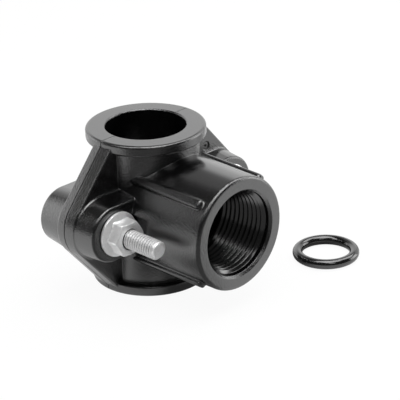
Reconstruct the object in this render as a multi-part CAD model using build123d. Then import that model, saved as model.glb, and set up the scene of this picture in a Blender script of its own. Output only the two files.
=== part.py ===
from build123d import *
import math
import os

# Clamp-on tapping saddle for a 25 mm plastic pipe, with a 3/4 inch female threaded outlet.
# The pipe runs along Z, the outlet points along -Y and the two clamp bolts lie at -X and +X, parallel to Y.
# The origin is the point where the pipe axis crosses the outlet axis. All lengths are in millimetres.

# ---- pipe barrel and collars ----
pipe_diameter = 25.0
barrel_wall = 4.0
saddle_height = 50.0
bore_edge_chamfer = 0.3
collar_diameter = 37.2
collar_thickness = 3.4
collar_edge_radius = 0.9
collar_under_radius = 0.6
parting_gap = 0.3

# ---- ears, bolt bosses and the webs that tie them to the barrel ----
bolt_spacing = 48.0
ear_radius = 11.0
ear_draft = 3.0
ear_edge_radius = 0.5
ear_foot_inset = 0.6
front_ear_thickness = 4.0
back_ear_thickness = 3.5
front_boss_length = 11.5
back_boss_length = 12.8
boss_draft = 6.0
boss_edge_radius = 0.9
boss_root_radius = 0.8
boss_height = 20.2
web_inner_x = 8.0
gate_mark_x = 21.8
gate_mark_z = 11.9
gate_mark_radius = 1.5
gate_mark_depth = 0.4
gate_pit_radius = 0.4
gate_pit_depth = 0.8

# ---- outlet ----
outlet_length = 39.5
outlet_root_diameter = 37.0
outlet_mouth_diameter = 35.8
outlet_edge_radius = 1.1
thread_major_diameter = 26.44
thread_bore_depth = 20.5
mouth_diameter = 28.0
tapping_hole_diameter = 12.0
rib_count = 4
rib_height = 1.35
rib_width = 3.0
rib_crest_radius = 0.8
rib_root_radius = 0.6
rib_end_setback = 3.0
rib_end_radius = 1.2

# ---- seal ring and its groove in the bore ----
seal_inner_diameter = 15.0
seal_section = 3.2
seal_groove_depth = 2.4
seal_groove_clearance = 0.1
seal_rest_x = 44.0
seal_rest_y = -34.7

# ---- M6 bolts and flange nuts ----
bolt_diameter = 6.0
bolt_length = 35.0
bolt_tip_chamfer = 0.6
bolt_hole_clearance = 0.3
hex_across_flats = 10.0
hex_chamfer_angle = 30.0
hex_face_ratio = 0.95
bolt_head_height = 4.0
bolt_head_seat = 5.3
hex_pocket_clearance = 0.15
nut_height = 6.0
nut_bore_clearance = 0.04
nut_flange_diameter = 14.0
nut_flange_chamfer = 0.3
nut_flange_edge = 1.1
nut_flange_slope = 25.0
nut_relief_clearance = 0.5

# ---- sizes that follow from the ones above ----
pipe_radius = pipe_diameter / 2
barrel_radius = pipe_radius + barrel_wall
half_height = saddle_height / 2
collar_radius = collar_diameter / 2
bolt_x = bolt_spacing / 2
half_gap = parting_gap / 2
bolt_radius = bolt_diameter / 2
bolt_hole_radius = bolt_radius + bolt_hole_clearance
hex_corner_radius = hex_across_flats / 2 / math.cos(math.radians(30))
thread_floor = outlet_length - thread_bore_depth
seal_radius = seal_section / 2
seal_ring_radius = seal_inner_diameter / 2 + seal_radius

# ---- aids to modelling: a length that passes right through the saddle, and a small tolerance ----
full_reach = 2 * (bolt_spacing + outlet_length)
tolerance = 0.01

FRONT = -1
BACK = 1
BOLT_SIDES = {"left": -1, "right": 1}


def on_side(shape, side, x=0.0):
    """Turn a shape built on +Z so that it stands on the parting plane and points along side * Y."""
    return Pos(x, 0, 0) * Rot(-90 * side, 0, 0) * shape


def turned(points):
    """Revolve a closed outline of (radius, height) points about Z."""
    outline = make_face(Polyline(*[(radius, 0, height) for radius, height in points], close=True))
    return revolve(outline, Axis.Z)


def hexagon(height, inset=0.0):
    """Hexagonal prism on XY, with its flats moved out by inset."""
    return extrude(RegularPolygon(hex_across_flats / 2 + inset, 6, major_radius=False), height)


def collared_barrel():
    """Barrel around the pipe with a rounded collar at each end."""
    collar = Cylinder(collar_radius, collar_thickness)
    collar = fillet(collar.edges().filter_by(GeomType.CIRCLE).sort_by(Axis.Z)[-1], collar_edge_radius)
    collar = fillet(collar.edges().filter_by(GeomType.CIRCLE).sort_by(Axis.Z)[0], collar_under_radius)
    upper = Pos(0, 0, half_height - collar_thickness / 2) * collar
    return Cylinder(barrel_radius, saddle_height) + upper + mirror(upper, Plane.XY)


def ear_outline(inset, thickness):
    """Face that wraps both ears and the foot where they meet the barrel, drawn in by an inset."""
    foot_x = math.sqrt((collar_radius - ear_foot_inset) ** 2 - thickness ** 2) - inset
    foot_z = half_height - collar_edge_radius / 2 - inset
    ear = Circle(ear_radius - inset)
    ears = Pos(-bolt_x, 0) * ear + Pos(bolt_x, 0) * ear
    return make_hull((ears + Rectangle(2 * foot_x, 2 * foot_z)).edges())


def ear_plate(thickness, side):
    """Drafted plate that carries both ears, with a rounded outer edge."""
    outer_inset = thickness * math.tan(math.radians(ear_draft))
    inner_outline = ear_outline(0, thickness)
    outer_outline = Pos(0, 0, thickness) * ear_outline(outer_inset, thickness)
    plate = loft([inner_outline, outer_outline], ruled=True)
    outer_face = plate.faces().sort_by(Axis.Z)[-1]
    return on_side(fillet(outer_face.edges(), ear_edge_radius), side)


def bolt_boss(length, side, bolt_side):
    """Drafted boss around a bolt, flush with the end of its ear, that runs in to the barrel as a web."""
    round_x = boss_height / 2 - ear_radius
    web_length = bolt_x - web_inner_x - round_x
    web = Pos(round_x + web_length / 2, 0) * Rectangle(web_length, boss_height)
    boss = extrude(Pos(round_x, 0) * Circle(boss_height / 2) + web, length, taper=boss_draft)
    end_face = boss.faces().sort_by(Axis.Z)[-1]
    inner_x = end_face.bounding_box().max.X
    rim = end_face.edges().filter_by(lambda edge: edge.center().X < inner_x - tolerance)
    boss = on_side(fillet(rim, boss_edge_radius), side, -bolt_x)
    return boss if bolt_side < 0 else mirror(boss, Plane.YZ)


def clamp_half(side, ear_thickness, boss_length):
    """Solid half of the clamp, before its bore and holes: ears, bosses and half of the collared barrel."""
    ears = ear_plate(ear_thickness, side)
    for bolt_side in BOLT_SIDES.values():
        ears += bolt_boss(boss_length, side, bolt_side)
    ear_face_y = side * ear_thickness
    roots = ears.edges().filter_by_position(Axis.Y, ear_face_y - tolerance, ear_face_y + tolerance)
    roots = roots.filter_by(lambda edge: tolerance < abs(edge.center().Z) < ear_radius)
    ears = fillet(roots, boss_root_radius)
    half_space = Pos(0, side * (half_gap + full_reach / 2), 0) * Box(full_reach, full_reach, full_reach)
    return (ears + collared_barrel()) & half_space


def pipe_bore():
    """Through bore for the pipe, opened by a small chamfer at each end."""
    bore = Cylinder(pipe_radius, full_reach)
    flare = Cone(pipe_radius, pipe_radius + 2 * bore_edge_chamfer, 2 * bore_edge_chamfer)
    flare = Pos(0, 0, half_height) * flare
    return bore + flare + mirror(flare, Plane.XY)


def bolt_holes():
    """Clearance holes for both bolts, right through both halves."""
    hole = Rot(90, 0, 0) * Cylinder(bolt_hole_radius, full_reach)
    return [Pos(bolt_side * bolt_x, 0, 0) * hole for bolt_side in BOLT_SIDES.values()]


def outlet_barrel():
    """Drafted outlet with a rounded mouth, standing on the parting plane."""
    barrel = turned([
        (0, 0),
        (outlet_root_diameter / 2, 0),
        (outlet_mouth_diameter / 2, outlet_length),
        (0, outlet_length),
    ])
    mouth = barrel.edges().filter_by(GeomType.CIRCLE).sort_by(Axis.Z)[-1]
    return fillet(mouth, outlet_edge_radius)


def outlet_rib():
    """Longitudinal rib on the outlet at +X, rounded at its outer end, before it is turned to its place."""
    length = outlet_length - rib_end_setback
    root = outlet_root_diameter / 2
    draft = (outlet_root_diameter - outlet_mouth_diameter) / 2 / outlet_length
    profile = make_face(Polyline(
        (thread_major_diameter / 2 + rib_height, 0, 0),
        (root + rib_height, 0, 0),
        (root + rib_height - draft * length, 0, length),
        (thread_major_diameter / 2 + rib_height, 0, length),
        close=True,
    ))
    rib = extrude(profile, rib_width / 2, both=True)
    end_face = rib.faces().sort_by(Axis.Z)[-1]
    rib = fillet(end_face.edges().filter_by(Axis.X), rib_end_radius)
    crest = rib.faces().sort_by(Axis.X)[-1]
    return fillet(crest.edges().filter_by(lambda edge: edge.center().Z > tolerance), rib_crest_radius)


def rib_roots(outlet):
    """Long edges where the ribs stand on the outlet barrel."""
    flat_faces = outlet.faces().filter_by(GeomType.PLANE)
    sides = flat_faces.filter_by(lambda face: abs(face.normal_at().Z) < tolerance)
    return [side.edges().sort_by_distance((0, 0, outlet_length / 2))[0] for side in sides]


def gate_mark():
    """Shallow round dish with a small pit in its middle, on the front of one ear."""
    dish = Cylinder(gate_mark_radius, 2 * gate_mark_depth)
    dish = fillet(dish.edges().filter_by(GeomType.CIRCLE).sort_by(Axis.Z)[0], gate_mark_depth / 2)
    pit = Cylinder(gate_pit_radius, 2 * gate_pit_depth)
    return on_side(Pos(0, gate_mark_z, front_ear_thickness) * (dish + pit), FRONT, gate_mark_x)


def outlet_passage():
    """Cut inside the outlet: flared mouth, bore at the thread's major diameter and tapping hole."""
    thread_radius = thread_major_diameter / 2
    mouth_radius = mouth_diameter / 2
    hole_radius = tapping_hole_diameter / 2
    return turned([
        (0, 0),
        (hole_radius, 0),
        (hole_radius, thread_floor),
        (thread_radius, thread_floor),
        (thread_radius, outlet_length - (mouth_radius - thread_radius)),
        (mouth_radius, outlet_length),
        (mouth_radius, full_reach),
        (0, full_reach),
    ])


def seal_groove():
    """Ring groove around the tapping hole, of one depth below the curved wall of the pipe bore."""
    inner = seal_inner_diameter / 2 - seal_groove_clearance
    outer = inner + seal_section + 2 * seal_groove_clearance
    ring = Cylinder(outer, outlet_length, align=(Align.CENTER, Align.CENTER, Align.MIN))
    ring -= Cylinder(inner, outlet_length, align=(Align.CENTER, Align.CENTER, Align.MIN))
    return on_side(ring, FRONT) & Cylinder(pipe_radius + seal_groove_depth, saddle_height)


def nut_reliefs():
    """Pockets that clear the nuts' flanges where the outlet barrel swells past them."""
    relief = Cylinder(nut_flange_diameter / 2 + nut_relief_clearance, nut_height + nut_relief_clearance,
                      align=(Align.CENTER, Align.CENTER, Align.MIN))
    relief = Pos(0, 0, front_boss_length) * relief
    return [on_side(relief, FRONT, bolt_side * bolt_x) for bolt_side in BOLT_SIDES.values()]


def outlet_half():
    """Front half of the clamp with the threaded outlet, its ribs and the seal groove."""
    outlet = outlet_barrel()
    for index in range(rib_count):
        outlet += Rot(0, 0, 360 / rib_count * (index + 0.5)) * outlet_rib()
    outlet = fillet(rib_roots(outlet), rib_root_radius)
    half = clamp_half(FRONT, front_ear_thickness, front_boss_length) + on_side(outlet, FRONT)
    half -= [pipe_bore(), on_side(outlet_passage(), FRONT), seal_groove(), *bolt_holes(), *nut_reliefs()]
    return half - gate_mark()


def back_half():
    """Plain back half of the clamp, with a hexagonal pocket for each bolt's head."""
    half = clamp_half(BACK, back_ear_thickness, back_boss_length)
    pocket = Pos(0, 0, bolt_head_seat) * hexagon(back_boss_length, hex_pocket_clearance)
    pockets = [on_side(pocket, BACK, bolt_side * bolt_x) for bolt_side in BOLT_SIDES.values()]
    half -= [pipe_bore(), *bolt_holes(), *pockets]
    return half


def chamfered_hexagon(height):
    """Hexagon whose upper corners are turned off at the hex chamfer angle."""
    face_radius = hex_face_ratio * hex_across_flats / 2
    drop = (hex_corner_radius - face_radius) * math.tan(math.radians(hex_chamfer_angle))
    turned_blank = turned([
        (0, 0),
        (hex_corner_radius, 0),
        (hex_corner_radius, height - drop),
        (face_radius, height),
        (0, height),
    ])
    return hexagon(height) & turned_blank


def bolt(bolt_side):
    """Hex bolt: the head sits in the back half's pocket and the tip stands out at the front."""
    tip_y = bolt_head_seat - bolt_length
    shank = Cylinder(bolt_radius, bolt_length, align=(Align.CENTER, Align.CENTER, Align.MIN))
    shank = chamfer(shank.edges().filter_by(GeomType.CIRCLE).sort_by(Axis.Z)[0], bolt_tip_chamfer)
    solid = Pos(0, 0, tip_y) * shank + Pos(0, 0, bolt_head_seat) * chamfered_hexagon(bolt_head_height)
    return on_side(solid, BACK, bolt_side * bolt_x)


def flange_nut(bolt_side):
    """Hex nut with a sloped flange, seated on the front boss."""
    flange_radius = nut_flange_diameter / 2
    top_radius = hex_across_flats / 2
    top = nut_flange_edge + (flange_radius - top_radius) * math.tan(math.radians(nut_flange_slope))
    flange = turned([
        (0, 0),
        (flange_radius - nut_flange_chamfer, 0),
        (flange_radius, nut_flange_chamfer),
        (flange_radius, nut_flange_edge),
        (top_radius, top),
        (0, top),
    ])
    nut = flange + chamfered_hexagon(nut_height)
    nut -= Cylinder(bolt_radius + nut_bore_clearance, full_reach)
    return on_side(Pos(0, 0, front_boss_length) * nut, FRONT, bolt_side * bolt_x)


def seal_ring():
    """Rubber ring, laid beside the saddle on the plane that the bottom collar stands on."""
    return Pos(seal_rest_x, seal_rest_y, seal_radius - half_height) * Torus(seal_ring_radius, seal_radius)


def main():
    """Build every piece and write one STEP file for each."""
    pieces = {
        "outlet_half": outlet_half(),
        "back_half": back_half(),
        "seal_ring": seal_ring(),
    }
    for name, bolt_side in BOLT_SIDES.items():
        pieces[name + "_bolt"] = bolt(bolt_side)
        pieces[name + "_flange_nut"] = flange_nut(bolt_side)
    os.makedirs("parts", exist_ok=True)
    for name, piece in pieces.items():
        export_step(piece, "parts/" + name + ".step")


main()
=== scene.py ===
import logging
import math
from collections.abc import Callable, Sequence
from dataclasses import dataclass
from enum import Enum

import bmesh
import bpy
from mathutils import Matrix, Vector


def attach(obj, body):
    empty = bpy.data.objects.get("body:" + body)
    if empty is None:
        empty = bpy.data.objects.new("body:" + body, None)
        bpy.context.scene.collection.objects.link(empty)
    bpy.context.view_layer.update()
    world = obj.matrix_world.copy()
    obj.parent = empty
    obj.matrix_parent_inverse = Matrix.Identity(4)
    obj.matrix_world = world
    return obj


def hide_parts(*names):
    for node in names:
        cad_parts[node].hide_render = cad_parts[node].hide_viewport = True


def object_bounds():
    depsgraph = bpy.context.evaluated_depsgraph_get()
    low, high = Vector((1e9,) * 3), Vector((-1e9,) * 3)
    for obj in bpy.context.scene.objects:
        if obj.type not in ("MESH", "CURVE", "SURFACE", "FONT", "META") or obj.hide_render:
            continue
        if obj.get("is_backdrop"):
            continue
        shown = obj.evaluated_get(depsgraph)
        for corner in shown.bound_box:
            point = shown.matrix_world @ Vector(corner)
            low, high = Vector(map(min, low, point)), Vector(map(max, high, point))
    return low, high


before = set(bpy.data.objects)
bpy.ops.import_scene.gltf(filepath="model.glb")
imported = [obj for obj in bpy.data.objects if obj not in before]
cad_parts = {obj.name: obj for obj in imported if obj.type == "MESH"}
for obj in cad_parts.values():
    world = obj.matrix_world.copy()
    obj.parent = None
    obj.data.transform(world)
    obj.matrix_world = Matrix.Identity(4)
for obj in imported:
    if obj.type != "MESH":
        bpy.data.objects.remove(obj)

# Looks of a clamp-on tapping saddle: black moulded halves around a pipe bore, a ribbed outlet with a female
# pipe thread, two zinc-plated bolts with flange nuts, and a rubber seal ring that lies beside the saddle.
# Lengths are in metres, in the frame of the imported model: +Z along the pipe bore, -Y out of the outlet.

LOG = logging.getLogger("tapping_saddle")
MM = 0.001
WHITE = (1.0, 1.0, 1.0, 1.0)
NEVER_SHARP = math.pi
EDGE_SAMPLES = 6
CORNER_SAMPLES = 8
Colour = tuple[float, float, float]
Edge = tuple[tuple[float, float], ...]
RadiusAt = Callable[[float], float]


class Body(Enum):
    """The rigid bodies that pieces ride on."""

    OUTLET_CLAMP = "outlet_clamp"
    BACK_CLAMP = "back_clamp"
    LEFT_NUT = "left_nut"
    RIGHT_NUT = "right_nut"


class Slot(Enum):
    """The record's material slots."""

    PLASTIC = "black_plastic"
    RUBBER = "black_rubber"
    ZINC = "zinc_steel"


class Side(Enum):
    """The two bolts of the clamp, by the sign of their X."""

    LEFT = -1
    RIGHT = 1

    @property
    def word(self) -> str:
        """The side's name as it stands in node names."""
        return self.name.lower()


# ---------------------------------------------------------------- shader building


class Value:
    """A socket that carries a number, with arithmetic that adds Math nodes behind it."""

    def __init__(self, shader: "Shader", socket: bpy.types.NodeSocket | None) -> None:
        """Wrap a socket.

        Args:
            shader: the shader whose tree the socket is in.
            socket: an output socket, or None behind a node that only takes inputs.
        """
        self.shader = shader
        self.socket = socket

    def _math(self, operation: str, first: "Value | float", second: "Value | float") -> "Value":
        """Add one Math node.

        Args:
            operation: the Math node's operation.
            first: its first input.
            second: its second input.

        Returns:
            The node's output.
        """
        return self.shader.add("ShaderNodeMath", {"operation": operation}, {0: first, 1: second})

    def __add__(self, other: "Value | float") -> "Value":
        """self + other."""
        return self._math("ADD", self, other)

    def __radd__(self, other: float) -> "Value":
        """other + self."""
        return self._math("ADD", other, self)

    def __sub__(self, other: "Value | float") -> "Value":
        """self - other."""
        return self._math("SUBTRACT", self, other)

    def __rsub__(self, other: float) -> "Value":
        """other - self."""
        return self._math("SUBTRACT", other, self)

    def __mul__(self, other: "Value | float") -> "Value":
        """self * other."""
        return self._math("MULTIPLY", self, other)

    def __rmul__(self, other: float) -> "Value":
        """other * self."""
        return self._math("MULTIPLY", other, self)

    def ramp(self, low: float, high: float) -> "Value":
        """Smooth step from 0 at low to 1 at high.

        Args:
            low: where the step starts.
            high: where it ends.

        Returns:
            The stepped value.
        """
        inputs = {"Value": self, "From Min": low, "From Max": high}
        return self.shader.add("ShaderNodeMapRange", {"interpolation_type": "SMOOTHSTEP"}, inputs)


class Shader:
    """The node tree of a material or of the world."""

    def __init__(self, owner: bpy.types.Material | bpy.types.World) -> None:
        """Empty the tree.

        Args:
            owner: the new material or world that the tree belongs to.
        """
        self.owner = owner
        owner.use_nodes = True
        self.tree = owner.node_tree
        self.tree.nodes.clear()

    @classmethod
    def of_material(cls, name: str) -> "Shader":
        """Start a new material.

        Args:
            name: the material's name.

        Returns:
            Its empty shader.
        """
        return cls(bpy.data.materials.new(name))

    def add(self, kind: str, settings: dict[str, object] | None = None,
            inputs: dict[str | int, object] | None = None, output: str | int = 0) -> Value:
        """Add one node: its settings first, then its inputs.

        Args:
            kind: the node's type name.
            settings: properties of the node.
            inputs: numbers, colours, sockets or wrapped values, by socket name or index.
            output: which output to return.

        Returns:
            The node's output, wrapped.
        """
        node = self.tree.nodes.new(kind)
        for name, setting in (settings or {}).items():
            setattr(node, name, setting)
        for key, given in (inputs or {}).items():
            socket = node.inputs[key]
            if isinstance(given, Value):
                self.tree.links.new(given.socket, socket)
            else:
                socket.default_value = given
        return Value(self, node.outputs[output] if node.outputs else None)

    def noise(self, scale: float, detail: float = 2.0, roughness: float = 0.5) -> Value:
        """Noise in the object's own space.

        Args:
            scale: cells in a metre.
            detail: octaves.
            roughness: how strong the fine octaves are.

        Returns:
            The noise, from 0 to 1.
        """
        place = self.add("ShaderNodeTexCoord", output="Object")
        return self.add("ShaderNodeTexNoise", {"noise_dimensions": "3D"},
                        {"Vector": place, "Scale": scale, "Detail": detail, "Roughness": roughness})

    def blend(self, share: Value, first: Colour, second: Colour) -> Value:
        """Mix two colours.

        Args:
            share: how much of the second colour.
            first: colour at 0.
            second: colour at 1.

        Returns:
            The mixed colour.
        """
        return self.add("ShaderNodeMix", {"data_type": "RGBA"},
                        {0: share, 6: (*first, 1.0), 7: (*second, 1.0)}, output=2)

    def relief(self, height: Value, depth: float, edge_radius: float = 0.0) -> Value:
        """Bump from a height from 0 to 1, over edges and corners that may be a little rounded.

        Args:
            height: the height.
            depth: the height's full depth in metres.
            edge_radius: radius of the rounding in metres.

        Returns:
            The bumped normal.
        """
        inputs: dict[str | int, object] = {"Height": height, "Distance": depth}
        if edge_radius:
            inputs["Normal"] = self.add("ShaderNodeBevel", {"samples": EDGE_SAMPLES}, {"Radius": edge_radius})
        return self.add("ShaderNodeBump", None, inputs)

    def finish(self, inputs: dict[str | int, object]) -> bpy.types.Material:
        """Close the tree with a Principled shader.

        Args:
            inputs: the Principled shader's inputs.

        Returns:
            The finished material.
        """
        surface = self.add("ShaderNodeBsdfPrincipled", None, inputs)
        self.add("ShaderNodeOutputMaterial", None, {"Surface": surface})
        return self.owner

    def facing(self, along: Sequence[float], coordinate: str = "Normal") -> Value:
        """How far a coordinate reaches along a direction.

        Args:
            along: the direction, of length 1.
            coordinate: the Texture Coordinate output to measure.

        Returns:
            The cosine for a direction, or the distance for a place.
        """
        measured = self.add("ShaderNodeTexCoord", output=coordinate)
        return self.add("ShaderNodeVectorMath", {"operation": "DOT_PRODUCT"},
                        {0: measured, 1: tuple(along)}, output="Value")

    def corner_light(self, reach: float) -> Value:
        """How open the surface is, from 0 in a tight corner to 1 in the open.

        Args:
            reach: how far away a neighbour still closes it in, in metres.

        Returns:
            The openness.
        """
        return self.add("ShaderNodeAmbientOcclusion", {"samples": CORNER_SAMPLES}, {"Distance": reach}, "AO")

    def seen_behind(self, to_camera: float, to_others: float) -> Value:
        """How much plain white shows: most to the camera, less off a gloss or through a clear piece.

        Args:
            to_camera: the share that the camera sees.
            to_others: the share that is mirrored or seen through a clear piece.

        Returns:
            The share for the ray.
        """
        kinds = ("Is Camera Ray", "Is Glossy Ray", "Is Transmission Ray")
        camera, glossy, clear = (self.add("ShaderNodeLightPath", output=kind) for kind in kinds)
        return to_camera * camera + to_others * (glossy + clear)


# ---------------------------------------------------------------- finishes


@dataclass(frozen=True)
class MouldedPlastic:
    """Satin black polypropylene with a fine grain on its sides and faint flow marks."""

    dark: Colour = (0.0006, 0.0006, 0.0007)
    light: Colour = (0.0016, 0.0017, 0.0018)
    cloud_scale: float = 90.0
    cloud_roughness: float = 0.08
    roughness: float = 0.13
    ior: float = 2.1
    grain_size: float = 0.6 * MM
    grain_depth: float = 0.10 * MM
    grain_fades: tuple[float, float] = (0.55, 0.95)
    edge_radius: float = 0.4 * MM

    def material(self, name: str) -> bpy.types.Material:
        """Build the material, with its grain on all but the level faces.

        Args:
            name: the material's name.

        Returns:
            The material.
        """
        shader = Shader.of_material(name)
        clouds = shader.noise(self.cloud_scale, detail=3.0)
        grain = shader.noise(1.0 / self.grain_size, detail=3.0, roughness=0.7)
        level = shader.facing((0.0, 0.0, 1.0))
        side = 1.0 - (level * level).ramp(*self.grain_fades)
        inputs: dict[str | int, object] = {
            "Base Color": shader.blend(clouds, self.dark, self.light),
            "Roughness": self.roughness + self.cloud_roughness * clouds,
            "IOR": self.ior,
        }
        if self.grain_depth:
            inputs["Normal"] = shader.relief(grain * side, self.grain_depth, self.edge_radius)
        return shader.finish(inputs)


@dataclass(frozen=True)
class ZincPlate:
    """Bright zinc plate over rolled steel, with painted shade darkening its corners and grooves."""

    # painted shade for corners and grooves: its colour, how far a neighbour closes a corner in, and where the
    # painted shade fades out
    painted_groove_shade: Colour = (0.03, 0.032, 0.034)
    bright: Colour = (1.0, 1.0, 1.0)
    painted_shade_reach: float = 0.7 * MM
    painted_shade_ends: tuple[float, float] = (0.36, 0.80)
    cloud_scale: float = 1400.0
    cloud_contrast: float = 0.4
    cloud_roughness: float = 0.18
    roughness: float = 0.24
    metallic: float = 0.62
    scratch_scale: float = 3000.0
    scratch_depth: float = 0.02 * MM

    def material(self) -> bpy.types.Material:
        """Build the material.

        Returns:
            The material.
        """
        shader = Shader.of_material("zinc_plate")
        clouds = shader.noise(self.cloud_scale, detail=3.0)
        scratches = shader.noise(self.scratch_scale, roughness=0.6)
        patches = 1.0 + self.cloud_contrast * (clouds - 0.5)
        # painted shade: the base colour darkens to the groove colour where neighbours close the surface in,
        # with random patches of tone over it
        painted_light_and_patches = shader.corner_light(self.painted_shade_reach).ramp(*self.painted_shade_ends) * patches
        return shader.finish({
            "Base Color": shader.blend(painted_light_and_patches, self.painted_groove_shade, self.bright),
            "Metallic": self.metallic,
            "Roughness": self.roughness + self.cloud_roughness * clouds,
            "Normal": shader.relief(scratches, self.scratch_depth),
        })


@dataclass(frozen=True)
class SealRubber:
    """Smooth black nitrile rubber with a thin film of oil."""

    dark: Colour = (0.001, 0.001, 0.001)
    light: Colour = (0.003, 0.003, 0.003)
    roughness: float = 0.12
    ior: float = 1.85
    film_scale: float = 350.0
    film_roughness: float = 0.05

    def material(self) -> bpy.types.Material:
        """Build the material.

        Returns:
            The material.
        """
        shader = Shader.of_material("seal_rubber")
        film = shader.noise(self.film_scale, detail=3.0)
        return shader.finish({
            "Base Color": shader.blend(film, self.dark, self.light),
            "Roughness": self.roughness + self.film_roughness * film,
            "IOR": self.ior,
        })


@dataclass(frozen=True)
class Finishes:
    """The finishes of the saddle, built once."""

    plastic: bpy.types.Material
    thread_plastic: bpy.types.Material
    rubber: bpy.types.Material
    zinc: bpy.types.Material

    @classmethod
    def build(cls) -> "Finishes":
        """Build all the materials; the thread's plastic is crisper and smoother than the rest.

        Returns:
            The finishes.
        """
        polished = MouldedPlastic(grain_depth=0.0, ior=1.9, roughness=0.12)
        return cls(
            plastic=MouldedPlastic().material("moulded_plastic"),
            thread_plastic=polished.material("thread_plastic"),
            rubber=SealRubber().material(),
            zinc=ZincPlate().material(),
        )


# ---------------------------------------------------------------- mesh building


@dataclass(frozen=True)
class Ring:
    """One ring of a turned or hexagonal skin."""

    height: float
    radius: RadiusAt


def round_ring(height: float, radius: float) -> Ring:
    """A circular ring.

    Args:
        height: its height along the axis.
        radius: its radius.

    Returns:
        The ring.
    """
    return Ring(height, lambda angle: radius)


def turned_edge(height: float, radius: float, edge: Edge) -> list[Ring]:
    """Circular rings over a turned edge.

    Args:
        height: the height that the edge's heights count from.
        radius: the radius that the edge's insets count from.
        edge: pairs of (height past that height, distance inside that radius).

    Returns:
        The rings, in the pairs' order.
    """
    return [round_ring(height + past, radius - inset) for past, inset in edge]


def hexagon_radius(angle: float, across_flats: float, corner_radius: float) -> float:
    """Radius of a hexagon with rounded corners, one of them at angle 0.

    Args:
        angle: angle about the axis, in radians.
        across_flats: distance between opposite flats.
        corner_radius: how far from the axis a corner may reach.

    Returns:
        The radius in that direction.
    """
    sixth = math.pi / 3
    from_flat = angle % sixth - sixth / 2
    return min(across_flats / 2 / math.cos(from_flat), corner_radius)


def skin(mesh: bmesh.types.BMesh, rings: Sequence[Ring], segments: int, looped: bool = False) -> None:
    """Stretch a closed skin over rings, with a fan at each end or joined back on itself.

    Args:
        mesh: the mesh to add to.
        rings: the rings, in order along the skin.
        segments: points in each ring.
        looped: join the last ring to the first, as round a bore, in place of the end fans.
    """
    angles = [2 * math.pi * index / segments for index in range(segments)]
    loops = []
    for ring in rings:
        points = [(ring.radius(a) * math.cos(a), ring.radius(a) * math.sin(a), ring.height) for a in angles]
        loops.append([mesh.verts.new(point) for point in points])
    pairs = list(zip(loops, loops[1:]))
    if looped:
        pairs.append((loops[-1], loops[0]))
    for low, high in pairs:
        for index in range(segments):
            after = (index + 1) % segments
            mesh.faces.new((low[index], low[after], high[after], high[index]))
    if not looped:
        for loop, height in ((loops[0], rings[0].height), (loops[-1], rings[-1].height)):
            centre = mesh.verts.new((0.0, 0.0, height))
            for index in range(segments):
                mesh.faces.new((loop[index], loop[(index + 1) % segments], centre))


@dataclass(frozen=True)
class ScrewThread:
    """A right-hand screw ridge around +Z, swept as one closed tube."""

    root_radius: float
    crest_radius: float
    pitch: float
    start: float
    end: float
    crest_flat: float
    root_flat: float
    sink: float
    steps: int = 56
    fade_turns: float = 0.5
    crest_round: tuple[float, float] = (0.26, 0.86)
    root_round: tuple[float, float] = (0.16, 0.07)
    least_share: float = 0.02

    @property
    def end_angle(self) -> float:
        """Angle about the axis at which the ridge ends, in radians."""
        return 2 * math.pi * (self.end - self.start) / self.pitch

    def section(self, share: float) -> list[tuple[float, float]]:
        """Outline of the ridge as (offset along the axis, radius).

        Args:
            share: how far the ridge has grown, from 0 to 1.

        Returns:
            The outline's points, from one root to the other and back under the wall.
        """
        rise = (self.crest_radius - self.root_radius) * share
        crest = self.root_radius + rise
        buried = self.root_radius + math.copysign(self.sink, self.root_radius - self.crest_radius)
        foot = (self.pitch - self.root_flat) / 2
        land = self.crest_flat / 2
        flank = foot - land
        shoulder = (land + flank * self.crest_round[0], self.root_radius + rise * self.crest_round[1])
        ankle = (foot - flank * self.root_round[0], self.root_radius + rise * self.root_round[1])
        half = [(foot, self.root_radius), ankle, shoulder, (land, crest)]
        outline = [(-offset, radius) for offset, radius in half]
        outline += [(0.0, crest)] + half[::-1]
        outline += [(foot, buried), (-foot, buried)]
        return outline

    def sweep(self, mesh: bmesh.types.BMesh, limit: Callable[[float, float], float] | None = None) -> None:
        """Sweep the ridge into a mesh.

        Args:
            mesh: the mesh to add to.
            limit: gives the radius allowed at a (height, radius), such as at a chamfered tip.
        """
        turns = self.end_angle / (2 * math.pi)
        count = int(turns * self.steps)
        previous: list[bmesh.types.BMVert] = []
        for index in range(count + 1):
            turn = index / self.steps
            angle = 2 * math.pi * turn
            share = min(1.0, turn / self.fade_turns, (turns - turn) / self.fade_turns)
            share = max(share, self.least_share)
            loop = []
            for offset, radius in self.section(share * share * (3 - 2 * share)):
                height = self.start + self.pitch * turn + offset
                reach = limit(height, radius) if limit else radius
                loop.append(mesh.verts.new((reach * math.cos(angle), reach * math.sin(angle), height)))
            if previous:
                for point in range(len(loop)):
                    after = (point + 1) % len(loop)
                    mesh.faces.new((previous[point], previous[after], loop[after], loop[point]))
            else:
                mesh.faces.new(loop)
            previous = loop
        mesh.faces.new(previous[::-1])


def place(mesh: bmesh.types.BMesh, name: str, placing: Matrix, material: bpy.types.Material,
          sharp_angle: float) -> bpy.types.Object:
    """Turn a bmesh into an object in the saddle's frame.

    Args:
        mesh: the finished mesh, which is freed.
        name: the piece's name.
        placing: moves the mesh to its place.
        material: the piece's finish.
        sharp_angle: edges sharper than this stay sharp, in radians.

    Returns:
        The new object.
    """
    bmesh.ops.recalc_face_normals(mesh, faces=mesh.faces)
    bmesh.ops.transform(mesh, matrix=placing, verts=mesh.verts)
    for face in mesh.faces:
        face.smooth = True
    for edge in mesh.edges:
        if len(edge.link_faces) == 2 and edge.calc_face_angle(0.0) > sharp_angle:
            edge.smooth = False
    data = bpy.data.meshes.new(name)
    mesh.to_mesh(data)
    mesh.free()
    data.materials.append(material)
    piece = bpy.data.objects.new(name, data)
    bpy.context.scene.collection.objects.link(piece)
    return piece


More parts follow.
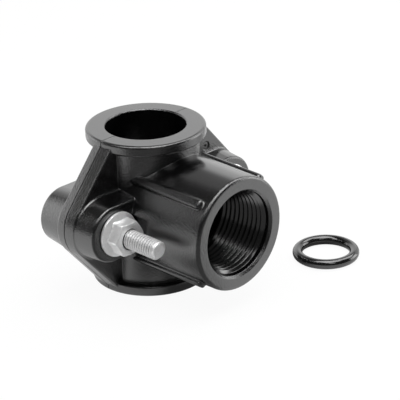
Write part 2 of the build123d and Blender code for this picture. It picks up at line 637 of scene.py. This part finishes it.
def dress_node(name: str, material: bpy.types.Material) -> None:
    """Give a CAD node a new finish.

    Args:
        name: the node.
        material: its finish.
    """
    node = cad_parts[name]
    for slot in node.material_slots:
        slot.material = material
    LOG.info("%s keeps its own mesh, in %s", name, material.name)


def belongs(piece: bpy.types.Object, body: Body, replaced: str | None = None) -> None:
    """Fix a piece to its body, hide the CAD node that it stands for, and report it.

    Args:
        piece: the piece.
        body: the body that it rides on.
        replaced: the CAD node that it stands for, if any.
    """
    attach(piece, body.value)
    if replaced:
        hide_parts(replaced)
    LOG.info("%s rides on %s, %d faces", piece.name, body.value, len(piece.data.polygons))


def outward(x: float, y: float) -> Matrix:
    """Placing that turns +Z to point out of the saddle's front, along -Y.

    Args:
        x: where the piece's axis is in X.
        y: where its zero height is in Y.

    Returns:
        The placing.
    """
    return Matrix.Translation((x, y, 0.0)) @ Matrix.Rotation(math.pi / 2, 4, "X")


# ---------------------------------------------------------------- sub-assemblies


@dataclass
class ClampHalves:
    """The two moulded halves and the female pipe thread in the outlet."""

    finishes: Finishes
    thread_major: float = 26.44 * MM
    thread_minor: float = 24.12 * MM
    pitch: float = 25.4 / 14 * MM
    thread_floor: float = 19.0 * MM
    thread_mouth: float = 38.1 * MM
    thread_end_turn: float = math.radians(110)
    crest_share: float = 0.10
    lead_in: float = 36.4 * MM
    wall_play: float = 0.06 * MM
    wall_sink: float = 0.12 * MM
    fade_turns: float = 0.12
    steps: int = 144
    sharp_angle: float = math.radians(50)

    def dress(self) -> None:
        """Give both moulded halves their finish."""
        for name in ("outlet_half", "back_half"):
            dress_node(name, self.finishes.plastic)

    def thread(self) -> None:
        """Build the outlet's thread as a ridge on the wall of its bore."""
        ridge = ScrewThread(
            root_radius=self.thread_major / 2 - self.wall_play,
            crest_radius=self.thread_minor / 2,
            pitch=self.pitch,
            start=self.thread_floor + self.pitch / 2,
            end=self.thread_mouth - self.pitch / 2,
            crest_flat=self.crest_share * self.pitch,
            root_flat=0.0,
            sink=self.wall_sink,
            steps=self.steps,
            fade_turns=self.fade_turns,
        )

        def lead_in_limit(height: float, radius: float) -> float:
            """Radius left by the lead-in cone that trims the outermost turn."""
            return max(radius, self.thread_minor / 2 + max(0.0, height - self.lead_in))

        mesh = bmesh.new()
        ridge.sweep(mesh, lead_in_limit)
        placing = outward(0.0, 0.0) @ Matrix.Rotation(self.thread_end_turn - ridge.end_angle, 4, "Z")
        piece = place(mesh, "outlet_thread", placing, self.finishes.thread_plastic, self.sharp_angle)
        belongs(piece, Body.OUTLET_CLAMP)

    def build(self) -> None:
        """Dress the halves and add the thread."""
        self.dress()
        self.thread()


@dataclass
class ClampScrew:
    """One bolt with its flange nut.

    The turned edges are pairs of (height past a level, distance inside a radius).
    """

    finishes: Finishes
    side: Side
    spacing: float = 48.0 * MM
    across_flats: float = 10.0 * MM
    corner_share: float = 0.985
    crown_share: float = 0.95
    crown_slope: float = math.radians(30)
    crown_steps: int = 6

    length: float = 35.0 * MM
    diameter: float = 6.0 * MM
    core_diameter: float = 4.85 * MM
    head_height: float = 4.0 * MM
    head_seat: float = 5.3 * MM
    neck: float = 0.5 * MM
    tip_chamfer: float = 0.75 * MM
    tip_edge: Edge = ((-0.12 * MM, 0.15 * MM), (0.0, 0.3 * MM), (-0.06 * MM, 0.7 * MM))

    pitch: float = 1.0 * MM
    crest_share: float = 0.16
    root_share: float = 0.12
    crest_play: float = 0.03 * MM
    root_sink: float = 0.01 * MM
    ridge_sink: float = 0.1 * MM
    thread_run_out: float = 1.2 * MM
    thread_tip_gap: float = 0.3 * MM

    nut_seat: float = 11.5 * MM
    nut_height: float = 6.0 * MM
    nut_bore: float = 6.1 * MM
    flange_diameter: float = 14.0 * MM
    flange_edge: float = 1.1 * MM
    flange_slope: float = math.radians(25)
    flange_steps: int = 10
    flange_foot: Edge = ((0.0, 0.35 * MM), (0.1 * MM, 0.1 * MM), (0.35 * MM, 0.0))
    flange_brow: Edge = ((-0.3 * MM, 0.0), (-0.08 * MM, 0.08 * MM), (0.05 * MM, 0.3 * MM))
    seat_countersink: float = 0.4 * MM
    end_countersink: tuple[float, float] = (0.5 * MM, 0.45 * MM)

    segments: int = 144
    sharp_angle: float = math.radians(35)

    @property
    def x(self) -> float:
        """Where the bolt's axis is in X."""
        return self.side.value * self.spacing / 2

    @property
    def sharp_corner(self) -> float:
        """How far a sharp corner of the hexagon is from the axis."""
        return self.across_flats / 2 / math.cos(math.pi / 6)

    def hexagon(self, height: float, cone: float = math.inf, floor: float = 0.0) -> Ring:
        """A ring on the hexagon.

        Args:
            height: the ring's height.
            cone: radius that the corners are turned down to at this height.
            floor: radius that the ring doesn't go under, as where a flange swells out.

        Returns:
            The ring.
        """
        corner = min(self.sharp_corner * self.corner_share, cone)
        return Ring(height, lambda angle: max(hexagon_radius(angle, self.across_flats, corner), floor))

    def crown(self, top: float, rise: float) -> list[Ring]:
        """Rings that turn a hexagon's corners down to a flat end.

        Args:
            top: height of the flat end.
            rise: 1 where the end points along the axis, -1 where it points back.

        Returns:
            The rings, ending at the flat.
        """
        face = self.crown_share * self.across_flats / 2
        slope = math.tan(self.crown_slope)
        rings = []
        for step in range(self.crown_steps + 1):
            cone = self.sharp_corner + (face - self.sharp_corner) * step / self.crown_steps
            rings.append(self.hexagon(top - rise * (cone - face) * slope, cone))
        return rings

    def bolt(self) -> None:
        """Build the bolt: hexagonal head, thread over its whole shank and a turned tip."""
        tip = self.length - self.head_seat
        under_head = -self.head_seat
        core = self.core_diameter / 2
        rings = self.crown(under_head - self.head_height, -1)[::-1]
        rings += [
            self.hexagon(under_head),
            round_ring(under_head, core + self.neck),
            round_ring(under_head + self.neck, core),
            round_ring(tip - self.tip_chamfer, core),
        ]
        rings += turned_edge(tip, core, self.tip_edge)
        mesh = bmesh.new()
        skin(mesh, rings, self.segments)

        def tip_limit(height: float, radius: float) -> float:
            """Radius allowed by the turned tip."""
            return min(radius, self.diameter / 2 - max(0.0, height - (tip - self.tip_chamfer)))

        ScrewThread(
            root_radius=core - self.root_sink,
            crest_radius=self.diameter / 2 - self.crest_play,
            pitch=self.pitch,
            start=under_head + self.thread_run_out,
            end=tip - self.thread_tip_gap,
            crest_flat=self.crest_share * self.pitch,
            root_flat=self.root_share * self.pitch,
            sink=self.ridge_sink,
        ).sweep(mesh, tip_limit)
        name = f"{self.side.word}_threaded_bolt"
        piece = place(mesh, name, outward(self.x, 0.0), self.finishes.zinc, self.sharp_angle)
        belongs(piece, Body.BACK_CLAMP, f"{self.side.word}_bolt")

    def nut(self) -> None:
        """Build the nut: hexagon on a sloped flange, with a countersunk bore."""
        rim = self.flange_diameter / 2
        bore = self.nut_bore / 2
        sink_depth, sink_width = self.end_countersink
        brow_height, brow_inset = self.flange_brow[-1]
        shoulder, slope_from = self.flange_edge + brow_height, rim - brow_inset
        rings = [round_ring(0.0, bore + self.seat_countersink)]
        rings += turned_edge(0.0, rim, self.flange_foot)
        rings += turned_edge(self.flange_edge, rim, self.flange_brow)
        for step in range(self.flange_steps + 1):
            floor = slope_from + (self.across_flats / 2 - slope_from) * step / self.flange_steps
            height = shoulder + (slope_from - floor) * math.tan(self.flange_slope)
            rings.append(self.hexagon(height, floor=floor))
        rings += self.crown(self.nut_height, 1)
        rings += [
            round_ring(self.nut_height, bore + sink_width),
            round_ring(self.nut_height - sink_depth, bore),
            round_ring(self.seat_countersink, bore),
        ]
        mesh = bmesh.new()
        skin(mesh, rings, self.segments, looped=True)
        name = f"{self.side.word}_hex_flange_nut"
        piece = place(mesh, name, outward(self.x, -self.nut_seat), self.finishes.zinc, self.sharp_angle)
        body = Body.LEFT_NUT if self.side is Side.LEFT else Body.RIGHT_NUT
        belongs(piece, body, f"{self.side.word}_flange_nut")

    def build(self) -> None:
        """Build the bolt and its nut."""
        self.bolt()
        self.nut()


@dataclass
class SealRing:
    """The rubber ring beside the saddle."""

    finishes: Finishes
    around: int = 160
    across: int = 36

    def build(self) -> None:
        """Build the ring round and smooth, to the size and place of the frame's own."""
        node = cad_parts["seal_ring"]
        reach = [node.matrix_world @ Vector(corner) for corner in node.bound_box]
        low = Vector([min(corner[axis] for corner in reach) for axis in range(3)])
        high = Vector([max(corner[axis] for corner in reach) for axis in range(3)])
        section = (high.z - low.z) / 2
        middle = (high.x - low.x) / 2 - section
        tilts = [2 * math.pi * step / self.across for step in range(self.across)]
        rings = [round_ring(section * math.sin(tilt), middle + section * math.cos(tilt)) for tilt in tilts]
        mesh = bmesh.new()
        skin(mesh, rings, self.around, looped=True)
        placing = Matrix.Translation((low + high) / 2)
        piece = place(mesh, "rubber_seal_ring", placing, self.finishes.rubber, NEVER_SHARP)
        belongs(piece, Body.OUTLET_CLAMP, "seal_ring")


# ---------------------------------------------------------------- studio


def away(azimuth: float, elevation: float) -> Vector:
    """Direction from the saddle towards a place around it.

    Args:
        azimuth: degrees about Z, from straight in front of the outlet.
        elevation: degrees above the level plane.

    Returns:
        The direction, of length 1.
    """
    level = math.cos(math.radians(elevation))
    turn = math.radians(azimuth)
    return Vector((math.sin(turn) * level, -math.cos(turn) * level, math.sin(math.radians(elevation))))


@dataclass(frozen=True)
class SoftBox:
    """A square area light that looks at the saddle."""

    name: str
    azimuth: float
    elevation: float
    distance: float
    size: float
    power: float

    def build(self, target: Vector) -> None:
        """Place the light.

        Args:
            target: the point that it looks at.
        """
        back = away(self.azimuth, self.elevation)
        lamp = bpy.data.lights.new(self.name, "AREA")
        lamp.size = self.size
        lamp.energy = self.power
        holder = bpy.data.objects.new(self.name, lamp)
        holder.location = target + back * self.distance
        holder.rotation_euler = (-back).to_track_quat("-Z", "Y").to_euler()
        bpy.context.scene.collection.objects.link(holder)


@dataclass
class Studio:
    """Pale floor, soft light and the camera.

    The shaded stretches are places on the floor, from where the shade starts to where it is full or ends.
    """

    floor_size: float = 4.0
    floor_colour: Colour = (0.90, 0.90, 0.90)
    floor_shown_white: float = 0.94
    floor_mirrored_white: float = 0.6
    shade_colour: Colour = (0.02, 0.02, 0.02)
    shade_strength: float = 0.80
    shade_azimuth: float = -60.0
    shade_left: tuple[float, float] = (20.0 * MM, 30.0 * MM)
    shade_front: tuple[float, float] = (0.0, 20.0 * MM)
    shade_under: tuple[float, float] = (-18.0 * MM, -8.0 * MM)
    shade_mouth: tuple[float, float] = (30.0 * MM, 42.0 * MM)
    room: float = 0.07
    backdrop_side: tuple[float, float] = (0.05, 0.30)
    backdrop_top: tuple[float, float] = (0.44, 0.60)
    azimuth: float = -44.35
    elevation: float = 24.27
    roll: float = -1.83
    distance: float = 561.7 * MM
    lens: float = 162.0
    sensor: float = 36.0
    aim: tuple[float, float] = (15.95 * MM, -0.52 * MM)
    clip: tuple[float, float] = (0.01, 20.0)

    def mirrored_shade(self, shader: Shader) -> Value:
        """How far the floor darkens where a gloss mirrors it, to the near left and under the outlet.

        Args:
            shader: the floor's shader.

        Returns:
            The share of shade for the ray.
        """
        forwards = shader.facing(away(0.0, 0.0), "Object")
        in_front = forwards.ramp(*self.shade_front)
        to_the_left = shader.facing(away(self.shade_azimuth, 0.0), "Object").ramp(*self.shade_left)
        to_the_right = shader.facing((1.0, 0.0, 0.0), "Object").ramp(*self.shade_under)
        beneath = to_the_right * (1.0 - forwards.ramp(*self.shade_mouth))
        gloss = shader.add("ShaderNodeLightPath", output="Is Glossy Ray")
        return self.shade_strength * gloss * in_front * (to_the_left + beneath - to_the_left * beneath)

    def floor(self) -> None:
        """Lay the floor under the saddle, on the plane that it stands on."""
        low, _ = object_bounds()
        shader = Shader.of_material("pale_floor")
        lit = shader.add("ShaderNodeBsdfDiffuse", None, {"Color": (*self.floor_colour, 1.0)})
        white = shader.add("ShaderNodeEmission", None, {"Color": WHITE, "Strength": 1.0})
        dim = shader.add("ShaderNodeBsdfDiffuse", None, {"Color": (*self.shade_colour, 1.0)})
        plain = shader.seen_behind(self.floor_shown_white, self.floor_mirrored_white)
        pale = shader.add("ShaderNodeMixShader", None, {0: plain, 1: lit, 2: white})
        surface = shader.add("ShaderNodeMixShader", None, {0: self.mirrored_shade(shader), 1: pale, 2: dim})
        shader.add("ShaderNodeOutputMaterial", None, {"Surface": surface})
        mesh = bmesh.new()
        bmesh.ops.create_grid(mesh, x_segments=4, y_segments=4, size=self.floor_size / 2)
        piece = place(mesh, "studio_floor", Matrix.Translation((0.0, 0.0, low.z)), shader.owner, NEVER_SHARP)
        piece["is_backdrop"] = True

    def walls(self) -> None:
        """Make the room dim, with a white backdrop along its far side that the camera sees everywhere."""
        bpy.context.scene.world = bpy.data.worlds.new("walls")
        shader = Shader(bpy.context.scene.world)
        far_side = shader.facing(-away(self.azimuth, 0.0), "Generated").ramp(*self.backdrop_side)
        low = 1.0 - shader.facing((0.0, 0.0, 1.0), "Generated").ramp(*self.backdrop_top)
        camera_ray = shader.add("ShaderNodeLightPath", output="Is Camera Ray")
        backdrop = far_side * low
        strength = self.room + (1.0 - self.room) * (backdrop + camera_ray - backdrop * camera_ray)
        walls = shader.add("ShaderNodeBackground", None, {"Color": WHITE, "Strength": strength})
        shader.add("ShaderNodeOutputWorld", None, {"Surface": walls})

    def lights(self) -> None:
        """Hang the soft boxes."""
        for box in (
            SoftBox("overhead_box", azimuth=0.0, elevation=80.0, distance=0.9, size=0.7, power=6.5),
            SoftBox("left_box", azimuth=-100.0, elevation=55.0, distance=0.9, size=0.3, power=1.2),
            SoftBox("left_card", azimuth=-151.0, elevation=12.0, distance=0.24, size=0.18, power=0.08),
            SoftBox("right_card", azimuth=60.0, elevation=9.0, distance=0.80, size=0.46, power=1.5),
            SoftBox("front_box", azimuth=-20.0, elevation=42.0, distance=0.9, size=0.25, power=0.4),
            SoftBox("right_box", azimuth=80.0, elevation=50.0, distance=0.9, size=0.5, power=2.5),
            SoftBox("back_box", azimuth=140.0, elevation=28.0, distance=1.0, size=1.1, power=1.2),
        ):
            box.build(Vector((0.0, 0.0, 0.0)))

    def camera(self) -> None:
        """Place the camera on the saddle's near left, a little above it."""
        back = away(self.azimuth, self.elevation)
        roll = math.radians(self.roll)
        level_right = Vector((-back.y, back.x, 0.0)).normalized()
        level_up = back.cross(level_right)
        right = level_right * math.cos(roll) + level_up * math.sin(roll)
        up = back.cross(right)
        lens = bpy.data.cameras.new("camera")
        lens.lens = self.lens
        lens.sensor_width = self.sensor
        lens.clip_start, lens.clip_end = self.clip
        holder = bpy.data.objects.new("camera", lens)
        turned = Matrix((right, up, back)).transposed()
        place_of_lens = right * self.aim[0] + up * self.aim[1] + back * self.distance
        holder.matrix_world = Matrix.Translation(place_of_lens) @ turned.to_4x4()
        bpy.context.scene.collection.objects.link(holder)
        bpy.context.scene.camera = holder

    def build(self) -> None:
        """Build the floor, the lights and the camera."""
        self.floor()
        self.walls()
        self.lights()
        self.camera()
        bpy.context.scene.view_settings.view_transform = "Standard"


def main() -> None:
    """Build every piece and the studio."""
    logging.basicConfig(level=logging.INFO, format="%(message)s")
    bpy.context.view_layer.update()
    finishes = Finishes.build()
    assemblies: list[ClampHalves | ClampScrew | SealRing] = [ClampHalves(finishes), SealRing(finishes)]
    assemblies += [ClampScrew(finishes, side) for side in Side]
    for assembly in assemblies:
        assembly.build()
    Studio().build()


if __name__ == "__main__":
    main()
